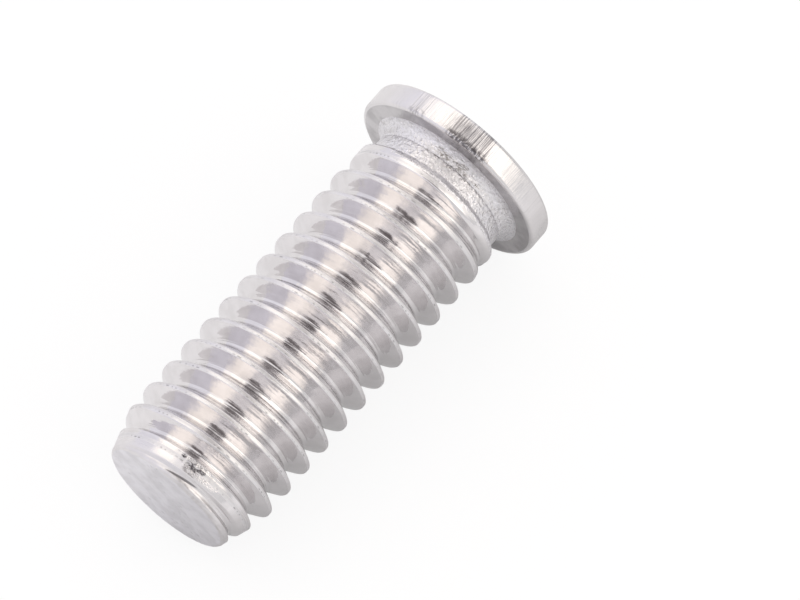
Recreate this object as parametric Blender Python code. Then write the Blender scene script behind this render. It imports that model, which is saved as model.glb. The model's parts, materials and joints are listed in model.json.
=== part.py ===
"""Flanged weld stud, M6 by 16, for welding to sheet metal by capacitor discharge.

The stud is headed from one length of wire and its thread is rolled, so it is one solid:
a cut thread end with a long tapered lead-in, the threaded shank, a plain neck that flares
into the flange, and a shallow weld cone with the ignition tip in its middle. It is turned
about its own +Z axis, the thread end at zero, and then laid down along +X as it comes to
rest on a table: on its flange rim and on the full thread crest nearest the other end.
"""

import math

import bmesh
import bpy
from mathutils import Matrix, Vector

# Driving dimensions, in metres and degrees
STUD_LENGTH = 0.0160
THREAD_DIAMETER = 0.00592
THREAD_PITCH = 0.0010
THREAD_FLANK_ANGLE = 60.0
THREAD_START_ANGLE = -58.0
END_FACE_DIAMETER = 0.00480
LEAD_IN_LENGTH = 0.00170
RUN_OUT_TURNS = 0.6

NECK_DIAMETER = 0.00524
NECK_LENGTH = 0.00050
SHOULDER_ANGLE = 45.0
FLARE_RADIUS = 0.00045

FLANGE_DIAMETER = 0.00745
FLANGE_THICKNESS = 0.00095
FLANGE_EDGE_RADIUS = 0.00015

WELD_CONE_ANGLE = 3.0
TIP_DIAMETER = 0.00075
TIP_LENGTH = 0.00080
TIP_TAPER_ANGLE = 3.0
TIP_EDGE_RADIUS = 0.00008

# How finely the round forms are cut into flats
SIDES = 40
ARC_STEPS = 3
ROOT_STEPS = 2
MERGE_DISTANCE = 1e-7
SHARP_EDGE_ANGLE = 25.0

# Standard shares of an ISO metric thread: crest flat, root round and triangle height
CREST_SHARE = 1 / 8
ROOT_SHARE = 1 / 4
CUTTER_CLEARANCE_SHARE = 0.05

# The cutter starts this many turns before the thread end, clear of the blank
RUN_IN_TURNS = 1.0

# Sizes worked out from the ones above
THREAD_RADIUS = THREAD_DIAMETER / 2
NECK_RADIUS = NECK_DIAMETER / 2
FLANGE_RADIUS = FLANGE_DIAMETER / 2
TIP_RADIUS = TIP_DIAMETER / 2
HALF_FLANK = math.radians(THREAD_FLANK_ANGLE / 2)
FLANGE_BACK = STUD_LENGTH - FLANGE_THICKNESS
FLARE_START = FLANGE_BACK - FLARE_RADIUS
NECK_START = FLARE_START - NECK_LENGTH
SHOULDER_LENGTH = (THREAD_RADIUS - NECK_RADIUS) / math.tan(math.radians(SHOULDER_ANGLE))
THREAD_END = NECK_START - SHOULDER_LENGTH
THREAD_PHASE = math.radians(THREAD_START_ANGLE)
FACET_ANGLE = 2 * math.pi / SIDES


def clear_scene():
    """Remove whatever the scene holds."""
    for thing in list(bpy.data.objects):
        bpy.data.objects.remove(thing, do_unlink=True)


def steel_material():
    """Bright rolled stainless steel."""
    material = bpy.data.materials.new("bright_stainless")
    material.use_nodes = True
    shader = material.node_tree.nodes["Principled BSDF"]
    shader.inputs["Base Color"].default_value = (0.72, 0.71, 0.71, 1.0)
    shader.inputs["Metallic"].default_value = 1.0
    shader.inputs["Roughness"].default_value = 0.28
    return material


def arc(centre, radius, start, end, steps):
    """Points (height, radius) on an arc in the turned profile, angles in degrees."""
    points = []
    for step in range(steps + 1):
        angle = math.radians(start + (end - start) * step / steps)
        points.append((centre[0] + radius * math.sin(angle), centre[1] + radius * math.cos(angle)))
    return points


def blank_profile():
    """The turned outline before threading, from the thread end to the ignition tip."""
    edge = FLANGE_EDGE_RADIUS
    cone_start = FLANGE_RADIUS - edge
    tip_taper = TIP_LENGTH * math.tan(math.radians(TIP_TAPER_ANGLE))
    tip_base = STUD_LENGTH + (cone_start - TIP_RADIUS) * math.tan(math.radians(WELD_CONE_ANGLE))
    tip_end = tip_base + TIP_LENGTH
    tip_end_radius = TIP_RADIUS - tip_taper
    points = [(0.0, 0.0), (0.0, END_FACE_DIAMETER / 2)]
    points += [(LEAD_IN_LENGTH, THREAD_RADIUS), (THREAD_END, THREAD_RADIUS)]
    points += [(NECK_START, NECK_RADIUS)]
    points += arc((FLARE_START, NECK_RADIUS + FLARE_RADIUS), FLARE_RADIUS, 180, 90, ARC_STEPS)
    points += arc((FLANGE_BACK + edge, cone_start), edge, -90, 0, ARC_STEPS)
    points += arc((STUD_LENGTH - edge, cone_start), edge, 0, 90, ARC_STEPS)
    points += [(tip_base, TIP_RADIUS)]
    points += [(tip_end - TIP_EDGE_RADIUS, tip_end_radius)]
    points += [(tip_end, tip_end_radius - TIP_EDGE_RADIUS), (tip_end, 0.0)]
    return points


def turned_blank():
    """The outline spun about Z, with one flat facing +X."""
    mesh = bmesh.new()
    turn = Matrix.Rotation(-FACET_ANGLE / 2, 4, "Z")
    verts = [mesh.verts.new(turn @ Vector((radius, 0.0, height))) for height, radius in blank_profile()]
    edges = [mesh.edges.new(pair) for pair in zip(verts, verts[1:])]
    bmesh.ops.spin(
        mesh,
        geom=verts + edges,
        axis=(0, 0, 1),
        cent=(0, 0, 0),
        angle=2 * math.pi,
        steps=SIDES,
        use_merge=True,
    )
    bmesh.ops.remove_doubles(mesh, verts=mesh.verts, dist=MERGE_DISTANCE)
    bmesh.ops.recalc_face_normals(mesh, faces=mesh.faces)
    return mesh_object("weld_stud", mesh)


def groove_section(lift):
    """Points (radius, height) of the groove between two crests, its root raised by lift."""
    outer = THREAD_RADIUS + CUTTER_CLEARANCE_SHARE * THREAD_PITCH
    half_mouth = THREAD_PITCH * (1 - CREST_SHARE) / 2
    half_root = THREAD_PITCH * ROOT_SHARE / 2
    flank_foot = THREAD_RADIUS - (half_mouth - half_root) / math.tan(HALF_FLANK)
    root_radius = half_root / math.cos(HALF_FLANK)
    root_centre = flank_foot + root_radius * math.sin(HALF_FLANK)
    half_outer = half_mouth + (outer - THREAD_RADIUS) * math.tan(HALF_FLANK)
    points = [(outer + lift, half_outer)]
    sweep = math.pi / 2 - HALF_FLANK
    for step in range(ROOT_STEPS + 1):
        angle = sweep * (1 - 2 * step / ROOT_STEPS)
        points.append((root_centre - root_radius * math.cos(angle) + lift, root_radius * math.sin(angle)))
    points.append((outer + lift, -half_outer))
    return points


def groove_cutter():
    """A right-hand helical sweep of the groove section, stepped with the blank's flats."""
    first = math.floor(-RUN_IN_TURNS * SIDES)
    centre_offset = THREAD_PITCH * (0.5 - THREAD_PHASE / (2 * math.pi))
    end_turns = (THREAD_END - centre_offset) / THREAD_PITCH
    last = math.ceil(end_turns * SIDES)
    run_out_steps = max(1, round(RUN_OUT_TURNS * SIDES))
    depth = THREAD_RADIUS - min(radius for radius, _ in groove_section(0.0))
    mesh = bmesh.new()
    rings = []
    for step in range(first, last + 1):
        angle = (step - 0.5) * FACET_ANGLE
        centre = centre_offset + THREAD_PITCH * angle / (2 * math.pi)
        risen = max(0.0, 1 - (last - step) / run_out_steps)
        ring = []
        for radius, height in groove_section(depth * risen):
            ring.append(
                mesh.verts.new(
                    (radius * math.cos(angle), radius * math.sin(angle), centre + height)
                )
            )
        rings.append(ring)
    count = len(rings[0])
    for here, there in zip(rings, rings[1:]):
        for side in range(count):
            following = (side + 1) % count
            mesh.faces.new((here[side], here[following], there[following], there[side]))
    mesh.faces.new(list(reversed(rings[0])))
    mesh.faces.new(rings[-1])
    bmesh.ops.triangulate(mesh, faces=mesh.faces)
    bmesh.ops.recalc_face_normals(mesh, faces=mesh.faces)
    cutter = mesh_object("groove_cutter", mesh)
    cutter.hide_render = True
    cutter.display_type = "WIRE"
    return cutter


def mesh_object(name, mesh):
    """An object in the scene that holds this bmesh."""
    data = bpy.data.meshes.new(name)
    mesh.to_mesh(data)
    mesh.free()
    made = bpy.data.objects.new(name, data)
    bpy.context.scene.collection.objects.link(made)
    return made


def cut_thread(stud):
    """Take the helical groove out of the shank."""
    cut = stud.modifiers.new("thread_groove", "BOOLEAN")
    cut.operation = "DIFFERENCE"
    cut.solver = "EXACT"
    cut.object = groove_cutter()
    cut.object.parent = stud


def resting_lean():
    """How far the axis rises towards the flange when rim and crest both touch the table."""
    flat = math.cos(FACET_ANGLE / 2)
    crest_half = THREAD_PITCH * CREST_SHARE / 2
    offset = -THREAD_PITCH * THREAD_PHASE / (2 * math.pi)
    turns = math.ceil((LEAD_IN_LENGTH + crest_half - offset) / THREAD_PITCH)
    crest_edge = offset + turns * THREAD_PITCH - crest_half
    rim_edge = FLANGE_BACK + FLANGE_EDGE_RADIUS
    return math.atan2((FLANGE_RADIUS - THREAD_RADIUS) * flat, rim_edge - crest_edge)


def lay_down(stud):
    """Lie the stud along +X with its box's lowest middle at the origin."""
    stud.rotation_euler = (0.0, math.pi / 2 - resting_lean(), 0.0)
    bpy.context.view_layer.update()
    shaped = stud.evaluated_get(bpy.context.evaluated_depsgraph_get())
    corners = [shaped.matrix_world @ vertex.co for vertex in shaped.data.vertices]
    low = Vector([min(corner[side] for corner in corners) for side in range(3)])
    high = Vector([max(corner[side] for corner in corners) for side in range(3)])
    stud.location = (-(low.x + high.x) / 2, -(low.y + high.y) / 2, -low.z)


def main():
    clear_scene()
    stud = turned_blank()
    stud.data.materials.append(steel_material())
    cut_thread(stud)
    stud.data.shade_smooth()
    stud.data.set_sharp_from_angle(angle=math.radians(SHARP_EDGE_ANGLE))
    lay_down(stud)


main()
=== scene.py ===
"""Dresses the flanged weld stud: one finely cut steel piece, its finishes, floor, lamps and camera."""

import json
import math

import bmesh
import bpy
import numpy as np
from bpy.props import FloatProperty, FloatVectorProperty, IntProperty, PointerProperty
from mathutils import Matrix, Quaternion, Vector


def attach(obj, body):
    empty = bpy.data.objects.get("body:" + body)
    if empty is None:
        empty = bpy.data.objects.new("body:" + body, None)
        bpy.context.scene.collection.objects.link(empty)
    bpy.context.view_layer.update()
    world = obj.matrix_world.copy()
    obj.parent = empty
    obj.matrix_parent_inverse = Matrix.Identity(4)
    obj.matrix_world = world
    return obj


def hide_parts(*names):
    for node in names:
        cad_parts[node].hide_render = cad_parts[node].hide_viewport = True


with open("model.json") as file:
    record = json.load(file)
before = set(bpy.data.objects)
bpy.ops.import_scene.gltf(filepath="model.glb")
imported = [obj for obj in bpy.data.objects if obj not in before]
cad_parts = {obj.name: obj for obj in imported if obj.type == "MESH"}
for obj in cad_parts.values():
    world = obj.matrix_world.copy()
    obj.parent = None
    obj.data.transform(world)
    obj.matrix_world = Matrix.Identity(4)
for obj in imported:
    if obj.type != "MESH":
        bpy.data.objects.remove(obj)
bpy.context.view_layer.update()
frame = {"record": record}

bl_info = {
    "name": "Flanged Weld Stud",
    "version": (1, 0, 0),
    "blender": (4, 5, 0),
    "location": "View3D > Sidebar > Weld Stud",
    "description": "Builds a threaded weld stud with its steel finishes and a plain studio",
    "category": "Mesh",
}

CAD_NODE = "weld_stud"
BODY = "root"

# How the thread is gridded: places across one pitch, as shares of it, from crest to crest
ROWS_ACROSS = (
    0.0, 0.018, 0.038, 0.054, 0.07, 0.09, 0.13, 0.29, 0.375, 0.42, 0.46,
    0.5, 0.54, 0.58, 0.625, 0.71, 0.87, 0.91, 0.93, 0.946, 0.962, 0.982,
)
COLUMNS = 240

# The grid starts this many turns before the thread's first one and has a few to spare
FIRST_TURN = -2
SPARE_TURNS = 5
# Rows this near to an end are moved onto it, in metres
SNAP = 0.000006
# Places that agree to this length are one, and the ends of the skin are found this closely
NANOMETRE = 1e-9
SAME_LEVEL = 1e-7
# Rows follow the crest's edge where it widens: the row at the edge, and the last one that moves fully
CREST_EDGE_ROW = 0.038
FLANK_ROW = 0.13
SHIFT_PASSES = 5

# The standard's shares of the pitch: half the crest and half the root, and the widest half crest
CREST_HALF = 1 / 16
ROOT_HALF = 1 / 8
WIDEST_HALF = 0.4
# The groove rises by up to this many depths as it runs out
RUN_OUT_RISE = 1.4
# Pitches before the thread's end at which the last crest starts to drop, and over how many it does
DROP_START = 0.9
DROP_LENGTH = 0.5

# Finishes of the piece's faces, in the order of FINISHES
THREAD, END, NECK, BACK, RIM, WELD, TIP = range(7)

# The turned outline's corners are rounded over this length, and the shoulder is this steep
CORNER_ROUNDING = 0.00006
SHOULDER_SLOPE = 1.9
# How many turns the uneven runs along the thread are drawn for, and the angle before their first turn
WANDER_TURNS = 20.0
AHEAD = 12.0
# Unevenness of the crest and of the seam's place, half the seam's width, and its place in turns
CREST_UNEVENNESS = 0.000012
SEAM_DRIFT = 0.000015
SEAM_HALF_WIDTH = 0.000024
SEAM_TURN = -0.03
# The seam breaks off where its gate falls below this, so steeply, and its least share of depth
SEAM_GATE = 0.22
SEAM_STEEPNESS = 2.4
SEAM_LEAST = 0.25
# It starts at this share of the lead-in
SEAM_FROM = 0.8
# The torn marks' relief: its reach and fineness, height along the stud, shift round it, and half sizes
TORN_REACH = 0.003
TORN_STEP = 0.00012
TORN_HEIGHT = 0.00075
TORN_SHIFT = 0.0003
TORN_HALF_WIDE = 0.0009
TORN_HALF_HIGH = 0.0002
# How far a field of unevenness reaches over the cut end, its broad and fine waves, and the broad share
FIELD_REACH = 0.0032
END_WAVES = 0.0009
END_GRAIN = 0.00022
END_WAVES_SHARE = 0.7
# Rings of the cut face, as shares of its half width, and the places round its ragged edge
END_RINGS = (0.965, 0.92, 0.84, 0.74, 0.62, 0.48, 0.33, 0.17)
RAGGED_TEETH = 250
# The cut end's edge is worn and frayed in one place: its turn and width, and how much it frays and sinks
WORN_TURN = math.radians(18)
WORN_WIDTH = math.radians(34)
FRAYED = 0.00003
FRAYED_WORN = 0.00013
WORN_INSET = 0.8
# The lip where the neck turns into the flare
LIP = 0.00004
# The frosting: how far its field reaches, how fine it is, and where on the neck its middle lies
FROST_REACH = 0.02
FROST_STEP = 0.00016
FROST_SHIFT = 0.009
FROST_MIDDLE = 0.0145
# The weld face's waves: reach and width of their field, and their height
WAVE_REACH = 0.006
WAVE_STEP = 0.0007
WAVE_HEIGHT = 0.00001
# The tip is uneven by this share of its width, three times round and twisted along it
TIP_UNEVENNESS = 0.03
TIP_TWIST = 9000
# Rings of the crater round the tip's foot: distance from the axis and share of the crater's depth
CRATER_RINGS = ((0.00078, 0.0), (0.00068, 0.35), (0.00060, 0.8), (0.00050, 1.0), (0.00043, 0.9))
CRATER_FOOT = 0.55

# Single marks: turns from where the torn marks lie, height along the stud, half sizes and slant
CREST_MARKS = {"Turn": -0.003, "Height": 0.00075, "Wide": 0.034, "High": 0.00017, "Lean": 0.0006}
CREST_PATCH = {"Turn": 0.025, "Height": 0.00074, "Wide": 0.055, "High": 0.00026}
# Painted shade: a dark line across the lead-in where the groove starts, standing in for the shade in that
# crease.
CREASE_SHADE = {"Turn": -0.00261, "Height": 0.000235, "Wide": 0.040, "High": 0.00004, "Lean": 0.0024}
NECK_MARKS = {"Turn": -0.005, "Height": 0.01470, "Wide": 0.07, "High": 0.00026}

# The floor: half its width, its level, and how far it glows to the camera and in reflections
FLOOR_HALF = 1.5
FLOOR_LEVEL = -0.00002
FLOOR_SEEN = 0.86
FLOOR_MIRRORED = 0.55
FLOOR_SHINE = 0.92
# Painted shadow: the mirrored floor is dimmer in a strip beside the stud, standing in for the stud's
# shadow there: by how much, and where it fades in and out
DIM_STRIP = 0.56
DIM_OUTER = (-0.015, -0.003)
DIM_INNER = (0.003, -0.001)
# Half sizes of the soft boxes, as shares of their distance, and how far their sides fade
FAR_BOX_HALF = (1.2, 0.51)
NEAR_BOX_HALF = (0.65, 0.58)
BOX_FADE = (0.16, 0.40)
# The dark card between them
CARD_HALF = (0.121, 0.067)
CARD_FADE = (0.12, 0.34)
CARD_TINT = (1.0, 0.89, 0.90)
SENSOR_WIDTH = 36.0


def millimetres(name, text, default, top=50.0):
    """A length property given in millimetres."""
    return FloatProperty(
        name=name,
        description=text,
        default=default / 1000,
        min=0.0,
        max=top / 1000,
        precision=5,
        subtype="DISTANCE",
        unit="LENGTH",
    )


def degrees(name, text, default):
    """An angle property given in degrees."""
    return FloatProperty(
        name=name,
        description=text,
        default=math.radians(default),
        subtype="ANGLE",
        unit="ROTATION",
    )


def share(name, text, default, top=1.0):
    """A plain number property between zero and top."""
    return FloatProperty(name=name, description=text, default=default, min=0.0, max=top)


def colour(name, text, default):
    """A colour property."""
    return FloatVectorProperty(
        name=name,
        description=text,
        default=default,
        min=0.0,
        max=4.0,
        size=3,
        subtype="COLOR",
    )


def direction(name, text, default):
    """A direction property, counted from the stud."""
    return FloatVectorProperty(name=name, description=text, default=default, size=3)


def location(name, text, default):
    """A property that holds a place in metres."""
    return FloatVectorProperty(
        name=name,
        description=text,
        default=default,
        size=3,
        subtype="TRANSLATION",
        unit="LENGTH",
    )


class WELDSTUD_PG_sizes(bpy.types.PropertyGroup):
    """Sizes of the stud."""

    length: millimetres("Length", "From the cut end to the weld face's rim", 16.0)
    thread_diameter: millimetres("Thread diameter", "Across the thread crests", 5.92)
    pitch: millimetres("Pitch", "From one crest to the next", 1.0)
    flank_angle: degrees("Flank angle", "Between the two sides of the groove", 60.0)
    start_angle: degrees("Thread start", "Where the first crest leaves the cut end", -58.0)
    crest_rounding: millimetres("Crest rounding", "How softly the crest turns into its flanks", 0.03)
    seam_depth: millimetres("Crest seam", "Depth of the rolled seam along the crest", 0.028)
    end_diameter: millimetres("End face diameter", "Across the cut end inside its lead-in", 4.8)
    lead_in: millimetres("Lead-in", "Length of the taper at the cut end", 1.7)
    end_edge: millimetres("End edge", "Rounding round the cut end", 0.18)
    end_relief: millimetres("End relief", "Unevenness of the cut end", 0.016)
    marks_angle: degrees("Marks", "Where the torn marks lie round the axis", -162.5)
    marks_depth: millimetres("Torn marks", "Depth of the torn marks on the first crest", 0.035)
    run_out: share("Run-out turns", "Turns over which the groove rises out", 0.6, 3.0)
    run_out_drop: millimetres("Run-out drop", "How much lower the last crest is", 0.08)
    neck_diameter: millimetres("Neck diameter", "Across the plain neck", 5.24)
    neck_length: millimetres("Neck length", "From the shoulder to the flare", 0.5)
    neck_relief: millimetres("Neck relief", "Height of the frosting on the neck", 0.006)
    flare_radius: millimetres("Flare radius", "Hollow between the neck and the flange", 0.45)
    flange_diameter: millimetres("Flange diameter", "Across the flange", 7.45)
    flange_thickness: millimetres("Flange thickness", "From the flange's back to its rim edge", 0.95)
    flange_edge: millimetres("Flange edge", "Rounding of both flange edges", 0.15)
    cone_angle: degrees("Weld cone", "Slope of the weld face", 3.0)
    tip_diameter: millimetres("Tip diameter", "Across the ignition tip", 0.75)
    tip_length: millimetres("Tip length", "Height of the ignition tip", 0.8)
    tip_taper: degrees("Tip taper", "Draught of the ignition tip", 3.0)
    crater_depth: millimetres("Crater depth", "Dip round the foot of the ignition tip", 0.08)


class WELDSTUD_PG_finish(bpy.types.PropertyGroup):
    """Colours and gloss of the steel."""

    steel: colour("Steel", "Bright rolled steel", (0.78, 0.76, 0.768))
    worn: colour("Worn steel", "Crests and edges rubbed bright", (0.78, 0.765, 0.775))
    frosted: colour("Frosted steel", "Frosted neck and cut end", (0.81, 0.80, 0.83))
    stained: colour("Stained steel", "Pits and stains", (0.30, 0.28, 0.27))
    # Painted shade: the flange back's colour leans towards this dark colour to stand in for the shade of
    # the thread; on the cut end it only gives random dull smudges.
    dull_and_shade: colour("Dulled steel", "Flange back in the shade of the thread", (0.35, 0.335, 0.34))
    # Also the colour of the painted shade line where the groove starts.
    pitted_and_shade: colour("Pitted steel", "Torn marks and deep lines", (0.08, 0.07, 0.08))
    thread_gloss: share("Thread roughness", "Roughness of the rolled flanks", 0.10)
    neck_gloss: share("Neck roughness", "Roughness of the frosted neck", 0.35)
    end_gloss: share("End roughness", "Roughness of the cut end", 0.50)
    rim_gloss: share("Rim roughness", "Roughness of the flange rim", 0.17)
    weld_gloss: share("Weld face roughness", "Roughness of the weld face", 0.46)


class WELDSTUD_PG_stage(bpy.types.PropertyGroup):
    """Floor, lamps and camera."""

    floor: colour("Floor", "Colour of the floor", (0.90, 0.90, 0.92))
    room: colour("Room", "Colour of the room at the far side", (0.95, 0.94, 1.01))
    room_light: share("Room light", "Strength of the light from all round", 1.0, 4.0)
    ceiling: colour("Ceiling", "Colour of the room overhead", (1.07, 1.045, 1.045))
    room_near: colour("Room, near side", "Colour of the room at the near side", (0.82, 0.815, 0.82))
    room_dim: colour("Room, near corner", "Colour of the room beyond the flange", (0.69, 0.68, 0.68))
    box_colour: colour("Soft boxes", "Colour of both soft boxes", (1.0, 0.95, 0.885))
    box_light: share("Far soft box light", "Brightness of the far soft box", 1.62, 10.0)
    near_light: share("Near soft box light", "Brightness of the near soft box", 1.8, 10.0)
    box_far: millimetres("Soft box distance", "How far the soft boxes stand from the stud", 300.0, 5000.0)
    card_light: share("Dark card", "Brightness of the card between the soft boxes", 0.20)
    far_box: direction("Far soft box", "Where the far soft box stands", (0.24, 0.48, 0.843))
    near_box: direction("Near soft box", "Where the near soft box stands", (0.16, -0.724, 0.671))
    near_turn: degrees("Near soft box turn", "Its turn in its own plane", -19.0)
    card_turn: degrees("Dark card turn", "Its turn in its own plane", -38.0)
    card: location("Dark card place", "Middle of the dark card", (-0.0190, -0.0440, 0.1945))
    lens: FloatProperty(name="Lens", description="Focal length in millimetres", default=288.0, min=1.0)
    camera: location("Camera", "Where the camera stands", (-0.0759997, -0.0645938, 0.1956937))
    azimuth: degrees("Azimuth", "Turn of the camera round the stud", -51.103)
    elevation: degrees("Elevation", "Height of the camera above the horizon", 62.44)
    seed: IntProperty(name="Seed", description="Seed of the seam and the unevenness", default=7, min=0)


def stud_place():
    """Where the stud's cut end lies and how far its axis is turned about Y, from the record's mount."""
    mount = next(item for item in frame["record"]["mounts"] if item["name"] == "thread_end")
    axis = -Vector(mount["axis"]).normalized()
    return Vector(mount["pos_m"]), math.atan2(axis.x, axis.z)


# Shader building


def put(tree, kind, inputs=(), **settings):
    """A new node with its settings, whose inputs are numbers, colours or other nodes' outputs."""
    made = tree.nodes.new(kind)
    for name, value in settings.items():
        setattr(made, name, value)
    for key, value in dict(inputs).items():
        if isinstance(value, bpy.types.NodeSocket):
            tree.links.new(value, made.inputs[key])
        else:
            made.inputs[key].default_value = value
    return made


def sums(tree, operation, *values):
    """The output of a math node."""
    return put(tree, "ShaderNodeMath", enumerate(values), operation=operation).outputs[0]


def plus(tree, first, second):
    """Two values added."""
    return sums(tree, "ADD", first, second)


def minus(tree, first, second):
    """The second value taken from the first."""
    return sums(tree, "SUBTRACT", first, second)


def times(tree, first, second):
    """Two values multiplied."""
    return sums(tree, "MULTIPLY", first, second)


def over(tree, first, second):
    """The first value divided by the second."""
    return sums(tree, "DIVIDE", first, second)


def larger(tree, first, second):
    """The larger of two values."""
    return sums(tree, "MAXIMUM", first, second)


def joined(tree, *parts):
    """A vector made of up to three values."""
    return put(tree, "ShaderNodeCombineXYZ", enumerate(parts)).outputs[0]


def split(tree, vector):
    """The three values of a vector."""
    return put(tree, "ShaderNodeSeparateXYZ", {0: vector}).outputs


def remap(tree, value, low, high, to_low=0.0, to_high=1.0, smooth=False):
    """A value carried from one range to another, held inside it."""
    inputs = {"Value": value, "From Min": low, "From Max": high, "To Min": to_low, "To Max": to_high}
    kind = "SMOOTHSTEP" if smooth else "LINEAR"
    return put(tree, "ShaderNodeMapRange", inputs, interpolation_type=kind, clamp=True).outputs["Result"]


def blend(tree, factor, first, second, mode="MIX"):
    """Two colours mixed by a factor."""
    made = put(tree, "ShaderNodeMix", data_type="RGBA", blend_type=mode)
    for index, value in ((0, factor), (6, first), (7, second)):
        if isinstance(value, bpy.types.NodeSocket):
            tree.links.new(value, made.inputs[index])
        elif index:
            made.inputs[index].default_value = (*value, 1.0)
        else:
            made.inputs[index].default_value = value
    return made.outputs[2]


def noise(tree, vector, scale, detail=2.0, roughness=0.5):
    """The value of a noise texture."""
    inputs = {"Vector": vector, "Scale": scale, "Detail": detail, "Roughness": roughness}
    return put(tree, "ShaderNodeTexNoise", inputs).outputs[0]


def group(name, inputs, outputs):
    """A new node group with named number inputs and outputs, and its two end nodes."""
    tree = bpy.data.node_groups.new(name, "ShaderNodeTree")
    for socket, default in inputs.items():
        made = tree.interface.new_socket(socket, in_out="INPUT", socket_type="NodeSocketFloat")
        made.default_value = default
    for socket in outputs:
        tree.interface.new_socket(socket, in_out="OUTPUT", socket_type="NodeSocketFloat")
    return tree, tree.nodes.new("NodeGroupInput"), tree.nodes.new("NodeGroupOutput")


def use(tree, name, **values):
    """A placed node group with its own values; names are written with underscores for spaces."""
    made = put(tree, "ShaderNodeGroup", node_tree=bpy.data.node_groups[name])
    for key, value in values.items():
        socket = made.inputs[key.replace("_", " ")]
        if isinstance(value, bpy.types.NodeSocket):
            tree.links.new(value, socket)
        else:
            socket.default_value = value
    return made.outputs


def local_place(tree):
    """The place on the stud itself: the point, x, y, z, the turn round the axis and the distance."""
    lain = put(tree, "ShaderNodeTexCoord").outputs["Object"]
    foot, lie = stud_place()
    own = {"Vector": lain, "Location": foot, "Rotation": (0.0, lie, 0.0)}
    place = put(tree, "ShaderNodeMapping", own, vector_type="TEXTURE").outputs[0]
    x, y, z = split(tree, place)
    turn = sums(tree, "ARCTAN2", times(tree, y, -1.0), times(tree, x, -1.0))
    turn = over(tree, turn, 2 * math.pi)
    out = sums(tree, "SQRT", plus(tree, times(tree, x, x), times(tree, y, y)))
    return place, x, y, z, turn, out


def rolled_lines_group():
    """Fine lines that rolling leaves in the groove, and masks of crest, far side, seam and cut end."""
    names = {"Pitch": 0.001, "Start": 0.0, "Lines": 16.0, "Stretch": 3.0}
    tree, given, made = group("rolled_lines", names, ("Lines", "Crest", "Far Side", "Seam", "End"))
    _, _, _, z, turn, _ = local_place(tree)
    turn = plus(tree, turn, 0.5)
    along = minus(tree, over(tree, z, given.outputs["Pitch"]), turn)
    along = plus(tree, along, given.outputs["Start"])
    whole = sums(tree, "FLOOR", along)
    across = minus(tree, along, whole)
    total = plus(tree, whole, turn)
    sideways = times(tree, across, given.outputs["Lines"])
    lookup = joined(tree, sideways, times(tree, total, given.outputs["Stretch"]))
    lines = noise(tree, lookup, 1.0, 2.0, 0.6)
    tree.links.new(remap(tree, lines, 0.3, 0.7), made.inputs["Lines"])
    edge = sums(tree, "ABSOLUTE", minus(tree, across, 0.5))
    tree.links.new(remap(tree, edge, 0.40, 0.44, smooth=True), made.inputs["Crest"])
    near = remap(tree, across, 0.61, 0.70, 1.0, 0.0, smooth=True)
    tree.links.new(near, made.inputs["Far Side"])
    off = sums(tree, "ABSOLUTE", minus(tree, across, 0.965))
    band = remap(tree, off, 0.010, 0.028, 1.0, 0.0)
    dots = noise(tree, joined(tree, times(tree, total, 95.0)), 1.0, 1.0)
    runs = noise(tree, joined(tree, 0.0, times(tree, total, 11.0)), 1.0, 1.0)
    seam = times(tree, remap(tree, dots, 0.50, 0.56), remap(tree, runs, 0.46, 0.56))
    tree.links.new(times(tree, seam, band), made.inputs["Seam"])
    tree.links.new(remap(tree, z, 0.0002, 0.0006, 1.0, 0.0, smooth=True), made.inputs["End"])


def grain_group():
    """Fine even grain, as a value between two limits."""
    names = {"Scale": 8000.0, "Low": 0.0, "High": 1.0}
    tree, given, made = group("fine_grain", names, ("Value",))
    place = local_place(tree)[0]
    value = noise(tree, place, given.outputs["Scale"], 3.0, 0.6)
    low, high = given.outputs["Low"], given.outputs["High"]
    tree.links.new(remap(tree, value, 0.32, 0.68, low, high), made.inputs["Value"])


def smudge_group():
    """Broad soft smudges, as a value between two limits."""
    names = {"Scale": 500.0, "Low": 0.0, "High": 1.0}
    tree, given, made = group("smudges", names, ("Value",))
    place = local_place(tree)[0]
    value = noise(tree, place, given.outputs["Scale"], 2.0, 0.5)
    low, high = given.outputs["Low"], given.outputs["High"]
    tree.links.new(remap(tree, value, 0.36, 0.64, low, high, smooth=True), made.inputs["Value"])


def ring_lines_group():
    """Turned lines round the axis: they vary along it and outwards and hardly at all round it."""
    names = {"Scale": 14000.0, "Breaks": 6.0}
    tree, given, made = group("ring_lines", names, ("Lines",))
    _, _, _, z, turn, out = local_place(tree)
    ring = times(tree, turn, 2 * math.pi)
    x = times(tree, sums(tree, "COSINE", ring), given.outputs["Breaks"])
    y = times(tree, sums(tree, "SINE", ring), given.outputs["Breaks"])
    height = times(tree, plus(tree, z, out), given.outputs["Scale"])
    lines = noise(tree, joined(tree, x, y, height), 1.0, 2.0, 0.6)
    tree.links.new(remap(tree, lines, 0.3, 0.7), made.inputs["Lines"])


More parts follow.
